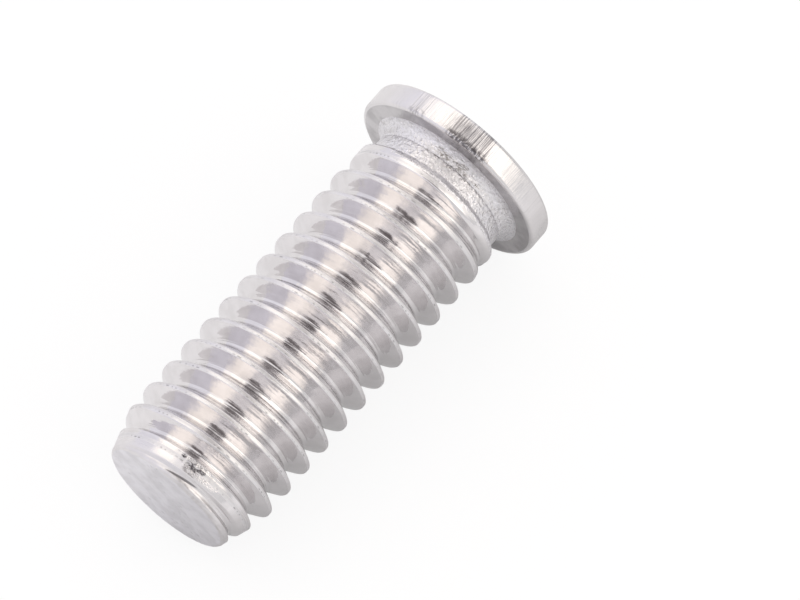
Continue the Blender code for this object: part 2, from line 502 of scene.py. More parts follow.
def rim_lines_group():
    """Short drawn lines along the axis on a rim, dark in one place, and torn marks at its edge."""
    names = {"Count": 90.0, "Length": 900.0, "Cut": 0.55, "Middle": 0.05, "Spread": 0.045, "Edge": 0.015}
    tree, given, made = group("rim_lines", names, ("Lines", "Dark", "Torn"))
    place, _, _, z, turn, out = local_place(tree)
    ring = times(tree, turn, 2 * math.pi)
    x = times(tree, sums(tree, "COSINE", ring), given.outputs["Count"])
    y = times(tree, sums(tree, "SINE", ring), given.outputs["Count"])
    height = times(tree, minus(tree, z, out), given.outputs["Length"])
    value = noise(tree, joined(tree, x, y, height), 1.0, 2.0, 0.65)
    tree.links.new(remap(tree, value, 0.3, 0.7), made.inputs["Lines"])
    off = sums(tree, "ABSOLUTE", minus(tree, turn, given.outputs["Middle"]))
    spread = given.outputs["Spread"]
    near = remap(tree, off, spread, times(tree, spread, 0.6), smooth=True)
    cut = minus(tree, given.outputs["Cut"], times(tree, near, 0.15))
    dark = remap(tree, value, cut, plus(tree, cut, 0.07))
    dark = times(tree, dark, remap(tree, near, 0.0, 1.0, 0.22, 1.0))
    tree.links.new(dark, made.inputs["Dark"])
    low = remap(tree, minus(tree, z, given.outputs["Edge"]), 0.00016, 0.0003, 1.0, 0.0)
    torn = remap(tree, noise(tree, place, 9000.0, 2.0, 0.6), 0.46, 0.56)
    torn = times(tree, torn, times(tree, low, near))
    tree.links.new(torn, made.inputs["Torn"])


def torn_group():
    """Torn dark marks in one place of the skin, and the rough patch round them."""
    names = {"Turn": 0.05, "Height": 0.0007, "Wide": 0.03, "High": 0.0003, "Lean": 0.0}
    tree, given, made = group("torn_marks", names, ("Marks", "Patch"))
    _, _, _, z, turn, out = local_place(tree)
    off = minus(tree, turn, given.outputs["Turn"])
    wide = over(tree, off, given.outputs["Wide"])
    level = minus(tree, z, times(tree, off, given.outputs["Lean"]))
    high = over(tree, minus(tree, level, given.outputs["Height"]), given.outputs["High"])
    far = plus(tree, times(tree, wide, wide), times(tree, high, high))
    patch = remap(tree, far, 0.7, 1.3, 1.0, 0.0, smooth=True)
    tree.links.new(patch, made.inputs["Patch"])
    lookup = joined(tree, times(tree, turn, 0.0075), level, out)
    middle = remap(tree, far, 0.0, 0.6, 0.07, 0.0)
    marks = remap(tree, plus(tree, noise(tree, lookup, 6500.0, 3.0, 0.6), middle), 0.52, 0.59)
    tree.links.new(times(tree, marks, patch), made.inputs["Marks"])


def scratches_group():
    """Long faint scratches across a flat face."""
    names = {"Turn": 0.6, "Scale": 9000.0, "Stretch": 0.08}
    tree, given, made = group("scratches", names, ("Lines",))
    _, x, y, _, _, _ = local_place(tree)
    cosine = sums(tree, "COSINE", given.outputs["Turn"])
    sine = sums(tree, "SINE", given.outputs["Turn"])
    sideways = minus(tree, times(tree, x, cosine), times(tree, y, sine))
    along = plus(tree, times(tree, x, sine), times(tree, y, cosine))
    lookup = joined(tree, sideways, times(tree, along, given.outputs["Stretch"]))
    value = noise(tree, lookup, given.outputs["Scale"], 3.0, 0.6)
    tree.links.new(remap(tree, value, 0.36, 0.64), made.inputs["Lines"])


def pits_group():
    """Small dark pits, as a mask."""
    names = {"Scale": 3500.0, "Amount": 0.35}
    tree, given, made = group("pits", names, ("Pits",))
    place = local_place(tree)[0]
    inputs = {"Vector": place, "Scale": given.outputs["Scale"]}
    cells = put(tree, "ShaderNodeTexVoronoi", inputs, feature="F1")
    spread = noise(tree, place, 900.0, 1.0)
    reach = times(tree, given.outputs["Amount"], remap(tree, spread, 0.42, 0.62))
    tree.links.new(remap(tree, cells.outputs["Distance"], 0.0, reach, 1.0, 0.0), made.inputs["Pits"])


def grain(tree, scale, low=0.0, high=1.0):
    """The fine-grain group's value."""
    return use(tree, "fine_grain", Scale=scale, Low=low, High=high)["Value"]


def smudges(tree, scale, low=0.0, high=1.0):
    """The smudges group's value."""
    return use(tree, "smudges", Scale=scale, Low=low, High=high)["Value"]


def turned_lines(tree, scale, breaks=6.0):
    """The turned-lines group's value."""
    return use(tree, "ring_lines", Scale=scale, Breaks=breaks)["Lines"]


def bumped(tree, height, distance, normal=None):
    """The normal of a bump node of the given height in metres."""
    made = put(tree, "ShaderNodeBump", {"Strength": 1.0, "Distance": distance, "Height": height})
    if normal is not None:
        tree.links.new(normal, made.inputs["Normal"])
    return made.outputs[0]


def steel(name, colour_out, roughness_out, normal_out):
    """A steel material whose colour, roughness and normal come from the three makers."""
    material = bpy.data.materials.new(name)
    material.use_nodes = True
    tree = material.node_tree
    shader = tree.nodes["Principled BSDF"]
    shader.inputs["Metallic"].default_value = 1.0
    tree.links.new(colour_out(tree), shader.inputs["Base Color"])
    tree.links.new(roughness_out(tree), shader.inputs["Roughness"])
    tree.links.new(normal_out(tree), shader.inputs["Normal"])
    return material


def thread_lines(tree):
    """The rolled-lines group placed with the stud's own pitch and start."""
    sizes = bpy.context.scene.weld_stud_sizes
    start = sizes.start_angle / (2 * math.pi)
    return use(tree, "rolled_lines", Pitch=sizes.pitch, Start=start, Lines=7.5, Stretch=2.0)


def marks_turn():
    """Where the torn marks lie round the axis, in turns as the groups count them."""
    return (bpy.context.scene.weld_stud_sizes.marks_angle / (2 * math.pi) + 1.0) % 1.0 - 0.5


def single_marks(tree, mark):
    """The torn-marks group at one of the named places."""
    values = dict(mark, Turn=marks_turn() + mark["Turn"])
    return use(tree, "torn_marks", **values)


def thread_material(name, paint):
    """Bright rolled flanks, lines along the root, a dotted seam, crests rubbed bright, torn marks and a
    painted shade line where the groove starts.
    """

    def colour_out(tree):
        lines = thread_lines(tree)
        worn = blend(tree, lines["Crest"], paint.steel, paint.worn)
        smudge = smudges(tree, 1500.0, 0.0, 0.10)
        smudged = blend(tree, smudge, worn, paint.stained)
        dark = times(tree, times(tree, lines["Lines"], lines["Far Side"]), 0.12)
        lined = blend(tree, dark, smudged, paint.stained)
        seamed = blend(tree, times(tree, lines["Seam"], 0.5), lined, paint.pitted_and_shade)
        marks = single_marks(tree, CREST_MARKS)["Marks"]
        # Painted shade: the dark line where the groove starts, darkened by seven tenths.
        crease_shade = single_marks(tree, CREASE_SHADE)["Patch"]
        streaks = turned_lines(tree, 16000.0, 30.0)
        marks = times(tree, marks, remap(tree, streaks, 0.25, 0.60, 0.45, 0.95))
        dark = larger(tree, marks, times(tree, crease_shade, 0.7))
        return blend(tree, dark, seamed, paint.pitted_and_shade)

    def roughness_out(tree):
        lines = thread_lines(tree)
        smudge = smudges(tree, 900.0, -0.02, 0.04)
        rough = plus(tree, smudge, paint.thread_gloss)
        edges = larger(tree, times(tree, lines["Crest"], 0.26), times(tree, lines["End"], 0.24))
        return plus(tree, rough, edges)

    def normal_out(tree):
        lines = thread_lines(tree)
        fine = bumped(tree, grain(tree, 9000.0), 2.0e-7)
        wavy = bumped(tree, smudges(tree, 2600.0), 2.2e-6, fine)
        height = times(tree, lines["Lines"], remap(tree, lines["Far Side"], 0.0, 1.0, 0.04, 1.0))
        lined = bumped(tree, height, 2.0e-5, wavy)
        patch = single_marks(tree, CREST_PATCH)["Patch"]
        rough = larger(tree, times(tree, lines["Crest"], 0.45), patch)
        return bumped(tree, times(tree, grain(tree, 15000.0), rough), 7.0e-6, lined)

    return steel(name, colour_out, roughness_out, normal_out)


def end_scratches(tree):
    """The scratches that run across the cut end."""
    return use(tree, "scratches", Turn=0.9, Scale=7000.0, Stretch=0.12)["Lines"]


def end_material(name, paint):
    """Matte cut end with grain, a few scratches and pits."""

    def colour_out(tree):
        smudge = smudges(tree, 1300.0, 0.0, 0.22)
        base = blend(tree, smudge, paint.frosted, paint.dull_and_shade)
        lined = blend(tree, times(tree, end_scratches(tree), 0.22), base, paint.worn)
        pits = use(tree, "pits", Scale=3600.0, Amount=0.34)["Pits"]
        return blend(tree, times(tree, pits, 0.35), lined, paint.stained)

    def roughness_out(tree):
        return grain(tree, 5000.0, paint.end_gloss - 0.08, paint.end_gloss + 0.08)

    def normal_out(tree):
        broad = bumped(tree, smudges(tree, 1900.0), 1.0e-5)
        lined = bumped(tree, end_scratches(tree), 3.0e-6, broad)
        return bumped(tree, grain(tree, 11000.0), 5.0e-6, lined)

    return steel(name, colour_out, roughness_out, normal_out)


def neck_material(name, paint):
    """Frosted, speckled and scratched neck."""

    def colour_out(tree):
        base = blend(tree, turned_lines(tree, 9000.0), paint.frosted, paint.worn)
        speckle = grain(tree, 11000.0, -0.55, 0.38)
        speckled = blend(tree, larger(tree, speckle, 0.0), base, paint.stained)
        marks = single_marks(tree, NECK_MARKS)["Marks"]
        streaks = turned_lines(tree, 26000.0, 24.0)
        scored = times(tree, marks, remap(tree, streaks, 0.30, 0.65, 0.0, 0.95))
        torn = blend(tree, scored, speckled, paint.stained)
        pits = use(tree, "pits", Scale=5200.0, Amount=0.5)["Pits"]
        return blend(tree, times(tree, pits, 0.4), torn, paint.stained)

    def roughness_out(tree):
        return grain(tree, 8000.0, paint.neck_gloss - 0.14, paint.neck_gloss + 0.12)

    def normal_out(tree):
        lines = bumped(tree, turned_lines(tree, 9000.0, 20.0), 1.4e-5)
        speckle = bumped(tree, grain(tree, 6500.0), 1.7e-5, lines)
        return bumped(tree, grain(tree, 18000.0), 3.0e-6, speckle)

    return steel(name, colour_out, roughness_out, normal_out)


def back_material(name, paint):
    """The flange's back, smooth, its colour darkened for a painted shade of the thread, with faint turned
    lines.
    """

    def colour_out(tree):
        # Painted shade: the back's colour is mostly the dark colour, standing in for the shade of the
        # thread.
        smudge = smudges(tree, 1100.0, 0.45, 0.85)
        return blend(tree, smudge, paint.steel, paint.dull_and_shade)

    def roughness_out(tree):
        return smudges(tree, 1300.0, 0.16, 0.26)

    def normal_out(tree):
        lines = bumped(tree, turned_lines(tree, 11000.0), 1.6e-6)
        return bumped(tree, grain(tree, 12000.0), 8.0e-7, lines)

    return steel(name, colour_out, roughness_out, normal_out)


def rim_lines(tree, count, length, cut=0.6, shift=-0.010, spread=0.045):
    """The rim-lines group on the flange's rim, its dark place shifted round from the torn marks."""
    sizes = bpy.context.scene.weld_stud_sizes
    place = {"Middle": marks_turn() + shift, "Edge": sizes.length - sizes.flange_thickness}
    return use(tree, "rim_lines", Count=count, Length=length, Cut=cut, Spread=spread, **place)


def rim_material(name, paint):
    """The flange's rim with short drawn lines along the axis."""

    def colour_out(tree):
        drawn = rim_lines(tree, 72.0, 420.0, 0.62)
        smudge = smudges(tree, 800.0, 0.03, 0.12)
        base = blend(tree, smudge, paint.steel, paint.stained)
        faint = rim_lines(tree, 110.0, 700.0, 0.64, -0.104, 0.018)
        dark = larger(tree, times(tree, drawn["Dark"], 0.60), times(tree, faint["Dark"], 0.28))
        lined = blend(tree, dark, base, paint.pitted_and_shade)
        torn = larger(tree, times(tree, drawn["Torn"], 0.8), times(tree, faint["Torn"], 0.35))
        return blend(tree, torn, lined, paint.pitted_and_shade)

    def roughness_out(tree):
        return smudges(tree, 1000.0, paint.rim_gloss - 0.04, paint.rim_gloss + 0.05)

    def normal_out(tree):
        drawn = bumped(tree, rim_lines(tree, 120.0, 700.0)["Lines"], 4.0e-6)
        return bumped(tree, grain(tree, 12000.0), 5.0e-7, drawn)

    return steel(name, colour_out, roughness_out, normal_out)


def weld_material(name, paint):
    """Pale matte weld face with sandy patches."""

    def colour_out(tree):
        smudge = smudges(tree, 1500.0, 0.0, 0.5)
        base = blend(tree, smudge, paint.worn, paint.frosted)
        sand = grain(tree, 9000.0, -0.35, 0.42)
        sand = times(tree, larger(tree, sand, 0.03), smudges(tree, 600.0))
        sandy = blend(tree, sand, base, paint.stained)
        pits = use(tree, "pits", Scale=5000.0, Amount=0.3)["Pits"]
        return blend(tree, times(tree, pits, 0.2), sandy, paint.stained)

    def roughness_out(tree):
        return grain(tree, 6000.0, paint.weld_gloss - 0.08, paint.weld_gloss + 0.1)

    def normal_out(tree):
        broad = bumped(tree, smudges(tree, 2500.0), 8.0e-6)
        sand = times(tree, grain(tree, 9000.0), smudges(tree, 600.0))
        sandy = bumped(tree, sand, 1.2e-5, broad)
        return bumped(tree, grain(tree, 15000.0), 2.4e-6, sandy)

    return steel(name, colour_out, roughness_out, normal_out)


def tip_material(name, paint):
    """The ignition tip and the crater round its foot, cut and torn."""

    def colour_out(tree):
        torn = smudges(tree, 2300.0, -0.35, 0.72)
        base = blend(tree, larger(tree, torn, 0.0), paint.steel, paint.pitted_and_shade)
        pits = use(tree, "pits", Scale=9000.0, Amount=0.6)["Pits"]
        return blend(tree, times(tree, pits, 0.4), base, paint.stained)

    def roughness_out(tree):
        return grain(tree, 12000.0, 0.18, 0.4)

    def normal_out(tree):
        broad = bumped(tree, smudges(tree, 3600.0), 3.0e-5)
        lines = bumped(tree, turned_lines(tree, 20000.0), 2.0e-6, broad)
        return bumped(tree, grain(tree, 20000.0), 2.0e-6, lines)

    return steel(name, colour_out, roughness_out, normal_out)


# The stud's shape


def softer(first, second, width):
    """The lower of two heights, with the corner between them rounded."""
    near = np.clip(0.5 + 0.5 * (second - first) / width, 0.0, 1.0)
    return second * (1 - near) + first * near - width * near * (1 - near)


def wandering(rng, count, step):
    """A smooth random function of one number, between zero and one."""
    values = rng.random(count)
    return lambda at: np.interp(np.asarray(at) / step, np.arange(count), values)


class StudShape:
    """Works out how far the stud's skin lies from its axis."""

    def __init__(self, sizes, seed):
        self.sizes = sizes
        self.rng = np.random.default_rng(seed)
        self.radius = sizes.thread_diameter / 2
        self.neck = sizes.neck_diameter / 2
        self.pitch = sizes.pitch
        self.slope = math.tan(sizes.flank_angle / 2)
        self.foot = self.radius - self.pitch * (0.5 - CREST_HALF - ROOT_HALF) / self.slope
        self.flange_back = sizes.length - sizes.flange_thickness
        self.flare_start = self.flange_back - sizes.flare_radius
        self.neck_start = self.flare_start - sizes.neck_length
        self.thread_end = self.neck_start - (self.radius - self.neck)
        self.seam_run = self.wander(4000, 1.6)
        self.seam_gate = self.wander(700)
        self.seam_place = self.wander(2500)
        self.crest_height = self.wander(1500)
        self.tears = relief_field(self.rng, FIELD_REACH, TORN_STEP)

    def wander(self, count, stretch=1.0):
        """A smooth random function of the angle along the whole thread."""
        return wandering(self.rng, count, WANDER_TURNS * 2 * math.pi / count * stretch)

    def blank(self, height):
        """The plain outline without the thread, with softened corners."""
        half_end = self.sizes.end_diameter / 2
        rise = (self.radius - half_end) / self.sizes.lead_in
        taper = half_end + height * rise
        shoulder = self.neck + (self.neck_start - CORNER_ROUNDING - height) * SHOULDER_SLOPE
        past = (height - self.thread_end) / self.pitch + DROP_START
        near_end = np.clip(past, 0.0, DROP_LENGTH) / DROP_LENGTH
        crest = self.radius - self.sizes.run_out_drop * near_end * near_end * (3 - 2 * near_end)
        soft = softer(crest, taper, CORNER_ROUNDING)
        low = softer(soft, shoulder, CORNER_ROUNDING)
        low = np.maximum(low, np.minimum(self.neck, taper))
        return np.where(height > self.neck_start, self.neck, low)

    def land(self, height):
        """Half the width of the crest's flat, in turns, at a height."""
        away = self.pitch * ROOT_HALF + (self.blank(height) - self.foot) * self.slope
        return np.clip(0.5 - away / self.pitch, CREST_HALF, WIDEST_HALF)

    def groove(self, offset):
        """The groove's height at an offset from its middle, its root rounded."""
        root_half = self.pitch * ROOT_HALF
        away = np.abs(offset)
        flank = self.foot + (away - root_half) / self.slope
        round_radius = root_half / math.cos(math.atan(self.slope))
        centre = self.foot + round_radius * self.slope / math.hypot(1, self.slope)
        inside = np.sqrt(np.maximum(round_radius**2 - away**2, 0.0))
        return np.where(away < root_half, centre - inside, flank)

    def skin(self, angle, height):
        """Distance from the axis at an angle round it and a height along it."""
        start = self.sizes.start_angle / (2 * math.pi)
        turns = height / self.pitch - angle / (2 * math.pi) + start
        groove_turn = np.round(turns - 0.5)
        offset = (turns - 0.5 - groove_turn) * self.pitch
        total = angle + 2 * math.pi * groove_turn
        last = 2 * math.pi * (self.thread_end / self.pitch - 0.5 + start)
        depth = self.radius - float(self.groove(np.zeros(1))[0])
        risen = np.clip(1 - (last - total) / (2 * math.pi * self.sizes.run_out), 0.0, RUN_OUT_RISE)
        cut = self.groove(offset) + depth * risen
        cut = cut + (self.crest_height(total + AHEAD) - 0.5) * CREST_UNEVENNESS
        shape = softer(self.blank(height), cut, self.sizes.crest_rounding)
        return shape - self.seam(angle, height, turns) - self.torn(angle, height)

    def torn(self, angle, height):
        """Torn marks on the first crest."""
        turned = (np.asarray(angle) - self.sizes.marks_angle + math.pi) % (2 * math.pi) - math.pi
        across = np.clip(turned * self.radius, -TORN_REACH, TORN_REACH)
        along = height - TORN_HEIGHT
        far = np.hypot((across - TORN_SHIFT) / TORN_HALF_WIDE, along / TORN_HALF_HIGH)
        inside = np.clip(1.5 - far, 0.0, 1.0)
        rough = np.clip((self.tears(across, along) - 0.45) * 3, 0.0, 1.0)
        return self.sizes.marks_depth * inside * rough

    def seam(self, angle, height, turns):
        """The broken seam that rolling leaves along the near side of the crest."""
        crest_turn = np.round(turns)
        total = angle + 2 * math.pi * crest_turn + AHEAD
        drift = (self.seam_place(total) - 0.5) * SEAM_DRIFT + SEAM_TURN * self.pitch
        offset = (turns - crest_turn) * self.pitch - drift
        gate = np.clip((self.seam_gate(total) - SEAM_GATE) * SEAM_STEEPNESS, 0.0, 1.0)
        share_deep = SEAM_LEAST + (1 - SEAM_LEAST) * self.seam_run(total)
        depth = self.sizes.seam_depth * share_deep * gate
        inside = np.clip(1 - np.abs(offset) / SEAM_HALF_WIDTH, 0.0, 1.0)
        lands = (height > self.sizes.lead_in * SEAM_FROM) & (height < self.thread_end)
        return depth * inside * lands


def crest_shift(shape, across, height):
    """How far a row moves, in turns, so that the rows by the crest's edge follow it where it widens."""
    part = across - np.round(across)
    away = np.abs(part)
    land = shape.land(height)
    moved = land - CREST_HALF
    inner = away * moved / CREST_EDGE_ROW
    outer = moved * (0.5 - away) / (0.5 - FLANK_ROW)
    beyond = np.where(away < FLANK_ROW, moved, outer)
    return np.sign(part) * np.where(away < CREST_EDGE_ROW, inner, beyond)


def thread_rows(shape, angles):
    """Heights of the rows at each angle: they follow the helix and stop at the two ends."""
    pitch = shape.pitch
    start = shape.sizes.start_angle / (2 * math.pi)
    low, high = shape.sizes.end_edge, shape.neck_start
    turns = int(high / pitch) + SPARE_TURNS
    across = np.array([turn + row for turn in range(turns) for row in ROWS_ACROSS]) + FIRST_TURN
    flat = (across[:, None] - start) * pitch + angles[None, :] * pitch / (2 * math.pi)
    heights = flat
    for _ in range(SHIFT_PASSES):
        heights = flat + crest_shift(shape, across[:, None], heights) * pitch
    heights = np.where(heights < low + SNAP, low, heights)
    return np.where(heights > high - SNAP, high, heights)


def grid_faces(numbers):
    """Faces between neighbouring rows and columns; past the last column they go on one turn up."""
    rows = len(numbers)
    faces = []
    for column in range(COLUMNS):
        wrapped = column == COLUMNS - 1
        shift = len(ROWS_ACROSS) if wrapped else 0
        following = 0 if wrapped else column + 1
        for row in range(rows - 1 - shift):
            ring = (
                numbers[row, column],
                numbers[row + shift, following],
                numbers[row + 1 + shift, following],
                numbers[row + 1, column],
            )
            corners = list(dict.fromkeys(int(corner) for corner in ring))
            if len(corners) > 2:
                faces.append(corners)
    return faces


def helical_grid(shape):
    """Places (angle, height) and faces of the threaded skin, with rows along the helix."""
    angles = np.arange(COLUMNS) * 2 * math.pi / COLUMNS
    heights = thread_rows(shape, angles)
    levels = np.round(heights / NANOMETRE).astype(np.int64)
    keys = levels * COLUMNS + np.arange(COLUMNS)[None, :]
    _, index, numbers = np.unique(keys.reshape(-1), return_index=True, return_inverse=True)
    every_angle = np.broadcast_to(angles, heights.shape).reshape(-1)
    place = np.stack([every_angle[index], heights.reshape(-1)[index]], 1)
    return place, grid_faces(numbers.reshape(heights.shape))


def skin_points(shape, angle, height):
    """Points of the skin in metres."""
    out = shape.skin(angle, height)
    return np.stack([out * np.cos(angle), out * np.sin(angle), height], 1)


def threaded_skin(shape):
    """The threaded part as an open bmesh."""
    place, faces = helical_grid(shape)
    points = skin_points(shape, place[:, 0], place[:, 1])
    mesh = bmesh.new()
    verts = [mesh.verts.new(point) for point in points.tolist()]
    for face in faces:
        mesh.faces.new([verts[corner] for corner in face])
    loose = [vert for vert in mesh.verts if not vert.link_faces]
    bmesh.ops.delete(mesh, geom=loose, context="VERTS")
    return mesh


def open_ring(mesh, height):
    """The vertices of the open edge at a height, in order round the axis."""
    ring = [vert for vert in mesh.verts if vert.is_boundary and abs(vert.co.z - height) < SAME_LEVEL]
    return sorted(ring, key=lambda vert: math.atan2(vert.co.y, vert.co.x) % (2 * math.pi))


def add_ring(mesh, ring, points, slot, outward):
    """A new ring of vertices joined to the last one by faces of one finish."""
    made = [mesh.verts.new(point) for point in points]
    count = len(ring)
    for side in range(count):
        following = (side + 1) % count
        corners = (ring[side], ring[following], made[following], made[side])
        face = mesh.faces.new(corners if outward else corners[::-1])
        face.material_index = slot
    return made


def close_ring(mesh, ring, height, slot, outward):
    """A fan of faces that closes a ring at the axis."""
    centre = mesh.verts.new((0.0, 0.0, height))
    for side in range(len(ring)):
        corners = (ring[side], ring[(side + 1) % len(ring)], centre)
        face = mesh.faces.new(corners if outward else corners[::-1])
        face.material_index = slot


def relief_field(rng, reach, step):
    """A smooth random height over a square, as a function of two places."""
    count = int(2 * reach / step) + 3
    values = rng.random((count, count))

    def at(across, along):
        x = (np.asarray(across) + reach) / step
        y = (np.asarray(along) + reach) / step
        x0 = np.clip(np.floor(x).astype(int), 0, count - 2)
        y0 = np.clip(np.floor(y).astype(int), 0, count - 2)
        fx = np.clip(x - x0, 0, 1)
        fy = np.clip(y - y0, 0, 1)
        fx = fx * fx * (3 - 2 * fx)
        fy = fy * fy * (3 - 2 * fy)
        top = values[x0, y0] * (1 - fx) + values[x0 + 1, y0] * fx
        bottom = values[x0, y0 + 1] * (1 - fx) + values[x0 + 1, y0 + 1] * fx
        return top * (1 - fy) + bottom * fy

    return at


def cut_end(shape, mesh):
    """Rounds the thread end's edge and closes it with the uneven cut face."""
    sizes = shape.sizes
    edge = sizes.end_edge
    ring = open_ring(mesh, edge)
    flat = np.array([vert.co[:] for vert in ring])
    angle = np.arctan2(flat[:, 1], flat[:, 0])
    reach = np.hypot(flat[:, 0], flat[:, 1])
    broad = relief_field(shape.rng, FIELD_REACH, END_WAVES)
    fine = relief_field(shape.rng, FIELD_REACH, END_GRAIN)
    ragged = wandering(shape.rng, RAGGED_TEETH + 10, 2 * math.pi / RAGGED_TEETH)
    wrapped = angle % (2 * math.pi)
    turned = (angle - sizes.marks_angle - WORN_TURN + math.pi) % (2 * math.pi) - math.pi
    worn = np.exp(-((turned / WORN_WIDTH) ** 2))
    frayed = FRAYED + FRAYED_WORN * worn
    inset = edge * (1 + WORN_INSET * worn)
    joint = np.clip(np.minimum(wrapped, 2 * math.pi - wrapped) * 8, 0, 1)
    rough = (ragged(wrapped) - 0.5) * frayed * joint
    for step in (1, 2, 3, 4):
        turn = math.radians(22.5 * step)
        out = reach - inset * (1 - math.cos(turn)) - rough * step / 4
        height = edge * (1 - math.sin(turn))
        slot = THREAD if step < 4 else END
        ring = add_ring(mesh, ring, ring_points(angle, out, height), slot, False)
    inner = reach - inset - rough
    for part in END_RINGS:
        out = inner * part
        x, y = out * np.cos(angle), out * np.sin(angle)
        fade = min(1.0, (1 - part) * 12)
        uneven = END_WAVES_SHARE * broad(x, y) + (1 - END_WAVES_SHARE) * fine(x, y)
        height = fade * sizes.end_relief * uneven
        ring = add_ring(mesh, ring, np.stack([x, y, height], 1).tolist(), END, False)
    close_ring(mesh, ring, 0.5 * sizes.end_relief, END, False)


def ring_points(angle, out, height):
    """Points of a ring at given distances from the axis and one height."""
    out = np.broadcast_to(out, angle.shape)
    height = np.broadcast_to(height, angle.shape)
    return np.stack([out * np.cos(angle), out * np.sin(angle), height], 1).tolist()


def rounded(centre, radius, start, end, steps):
    """Points (height, distance) on an arc of the outline, without its first one."""
    points = []
    for step in range(1, steps + 1):
        turn = math.radians(start + (end - start) * step / steps)
        points.append((centre[0] + radius * math.sin(turn), centre[1] + radius * math.cos(turn)))
    return points


def between(first, last, parts):
    """Values at the given parts of the way from the first to the last."""
    return [first + (last - first) * part for part in parts]


def head_outline(shape):
    """Rings (height, distance, finish) from the neck's start to the top of the tip."""
    sizes = shape.sizes
    neck = shape.neck
    edge = sizes.flange_edge
    rim = sizes.flange_diameter / 2
    flat = rim - edge
    flare = shape.flare_start
    back = shape.flange_back
    front = sizes.length - edge
    fifths = (0.2, 0.4, 0.6, 0.8, 1.0)
    levels = between(shape.neck_start, flare, (0.06, 0.15, 0.3, 0.5, 0.7, 0.85))
    rings = [(height, neck, NECK) for height in levels]
    rings += [(flare - 0.6 * LIP, neck, NECK), (flare - 0.2 * LIP, neck - 0.6 * LIP, NECK)]
    rings += [(flare + 0.3 * LIP, neck - 0.5 * LIP, NECK), (flare + LIP, neck + 0.3 * LIP, NECK)]
    arc = rounded((flare, neck + sizes.flare_radius), sizes.flare_radius, 180, 90, 12)
    rings += [(*point, NECK if step < 11 else BACK) for step, point in enumerate(arc) if step > 0]
    rings += [(back, out, BACK) for out in between(neck + sizes.flare_radius, flat, fifths)]
    rings += [(*point, RIM) for point in rounded((back + edge, flat), edge, -90, 0, 5)]
    rings += [(height, rim, RIM) for height in between(back + edge, front, fifths)]
    rings += [(*point, RIM) for point in rounded((front, flat), edge, 0, 90, 5)]
    return rings + weld_outline(sizes, flat)


def weld_outline(sizes, flat):
    """Rings of the weld face, the crater round the tip and the tip."""
    tip = sizes.tip_diameter / 2
    length = sizes.tip_length
    rise = math.tan(sizes.cone_angle)
    taper = math.tan(sizes.tip_taper)
    rings = []
    for out in between(flat, tip, (0.06, 0.14, 0.24, 0.36, 0.48, 0.6, 0.72)):
        rings.append((sizes.length + (flat - out) * rise, out, WELD))
    for out, painted_shadow in (*CRATER_RINGS, (tip, CRATER_FOOT)):
        level = sizes.length + (flat - out) * rise - painted_shadow * sizes.crater_depth
        rings.append((level, out, TIP if painted_shadow > 0.5 else WELD))
    base = sizes.length + (flat - tip) * rise
    for part in (0.05, 0.15, 0.35, 0.55, 0.75, 0.9):
        rings.append((base + length * part, tip - length * part * taper, TIP))
    top = base + length
    end = tip - length * taper
    rings += [(top - 0.00004, end, TIP), (top - 0.00001, end - 0.00003, TIP)]
    rings += [(top, end - 0.00008, TIP), (top, end * 0.4, TIP)]
    return rings


def head(shape, mesh):
    """Neck, flange, weld face and tip, as rings that follow on from the thread."""
    sizes = shape.sizes
    ring = open_ring(mesh, shape.neck_start)
    angle = np.array([math.atan2(vert.co.y, vert.co.x) for vert in ring])
    frost = relief_field(shape.rng, FROST_REACH, FROST_STEP)
    waves = relief_field(shape.rng, WAVE_REACH, WAVE_STEP)
    outline = head_outline(shape)
    for height, out, slot in outline:
        reach = np.full(angle.shape, out)
        level = np.full(angle.shape, height)
        if slot == NECK:
            place = (angle % (2 * math.pi)) * shape.neck
            up = np.full(angle.shape, height - FROST_MIDDLE)
            reach = reach - sizes.neck_relief * frost(place - FROST_SHIFT, up)
        if slot == WELD:
            level = level - WAVE_HEIGHT * waves(out * np.cos(angle), out * np.sin(angle))
        if slot == TIP:
            reach = reach * (1 + TIP_UNEVENNESS * np.sin(3 * angle + height * TIP_TWIST))
        ring = add_ring(mesh, ring, ring_points(angle, reach, level), slot, True)
    close_ring(mesh, ring, outline[-1][0], TIP, True)


def stud_mesh(shape):
    """The whole skin as mesh data."""
    mesh = threaded_skin(shape)
    for face in mesh.faces:
        above = min(vert.co.z for vert in face.verts) > shape.thread_end
        face.material_index = NECK if above else THREAD
    head(shape, mesh)
    cut_end(shape, mesh)
    bmesh.ops.triangulate(mesh, faces=[face for face in mesh.faces if len(face.verts) > 4])
    bmesh.ops.recalc_face_normals(mesh, faces=mesh.faces)
    for face in mesh.faces:
        face.smooth = True
    data = bpy.data.meshes.new("weld_stud_dressed")
    mesh.to_mesh(data)
    mesh.free()
    return data


# Operators


class WELDSTUD_OT_finishes(bpy.types.Operator):
    """Builds the shared node groups and the steel finishes."""

    bl_idname = "weld_stud.finishes"
    bl_label = "Steel Finishes"

    def execute(self, context):
        paint = context.scene.weld_stud_finish
        for build in GROUPS:
            build()
        for name, build in FINISHES.items():
            build(name, paint)
        return {"FINISHED"}


class WELDSTUD_OT_stud(bpy.types.Operator):
    """Builds the stud as one piece in place of its CAD solid."""

    bl_idname = "weld_stud.stud"
    bl_label = "Weld Stud"

    def execute(self, context):
        shape = StudShape(context.scene.weld_stud_sizes, context.scene.weld_stud_stage.seed)
        data = stud_mesh(shape)
        foot, lie = stud_place()
        data.transform(Matrix.Translation(foot) @ Matrix.Rotation(lie, 4, "Y"))
        for name in FINISHES:
            if name not in bpy.data.materials:
                raise RuntimeError(f"the finish {name} is missing: run Steel Finishes first")
            data.materials.append(bpy.data.materials[name])
        piece = bpy.data.objects.new("weld_stud_dressed", data)
        context.scene.collection.objects.link(piece)
        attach(piece, BODY)
        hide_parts(CAD_NODE)
        return {"FINISHED"}


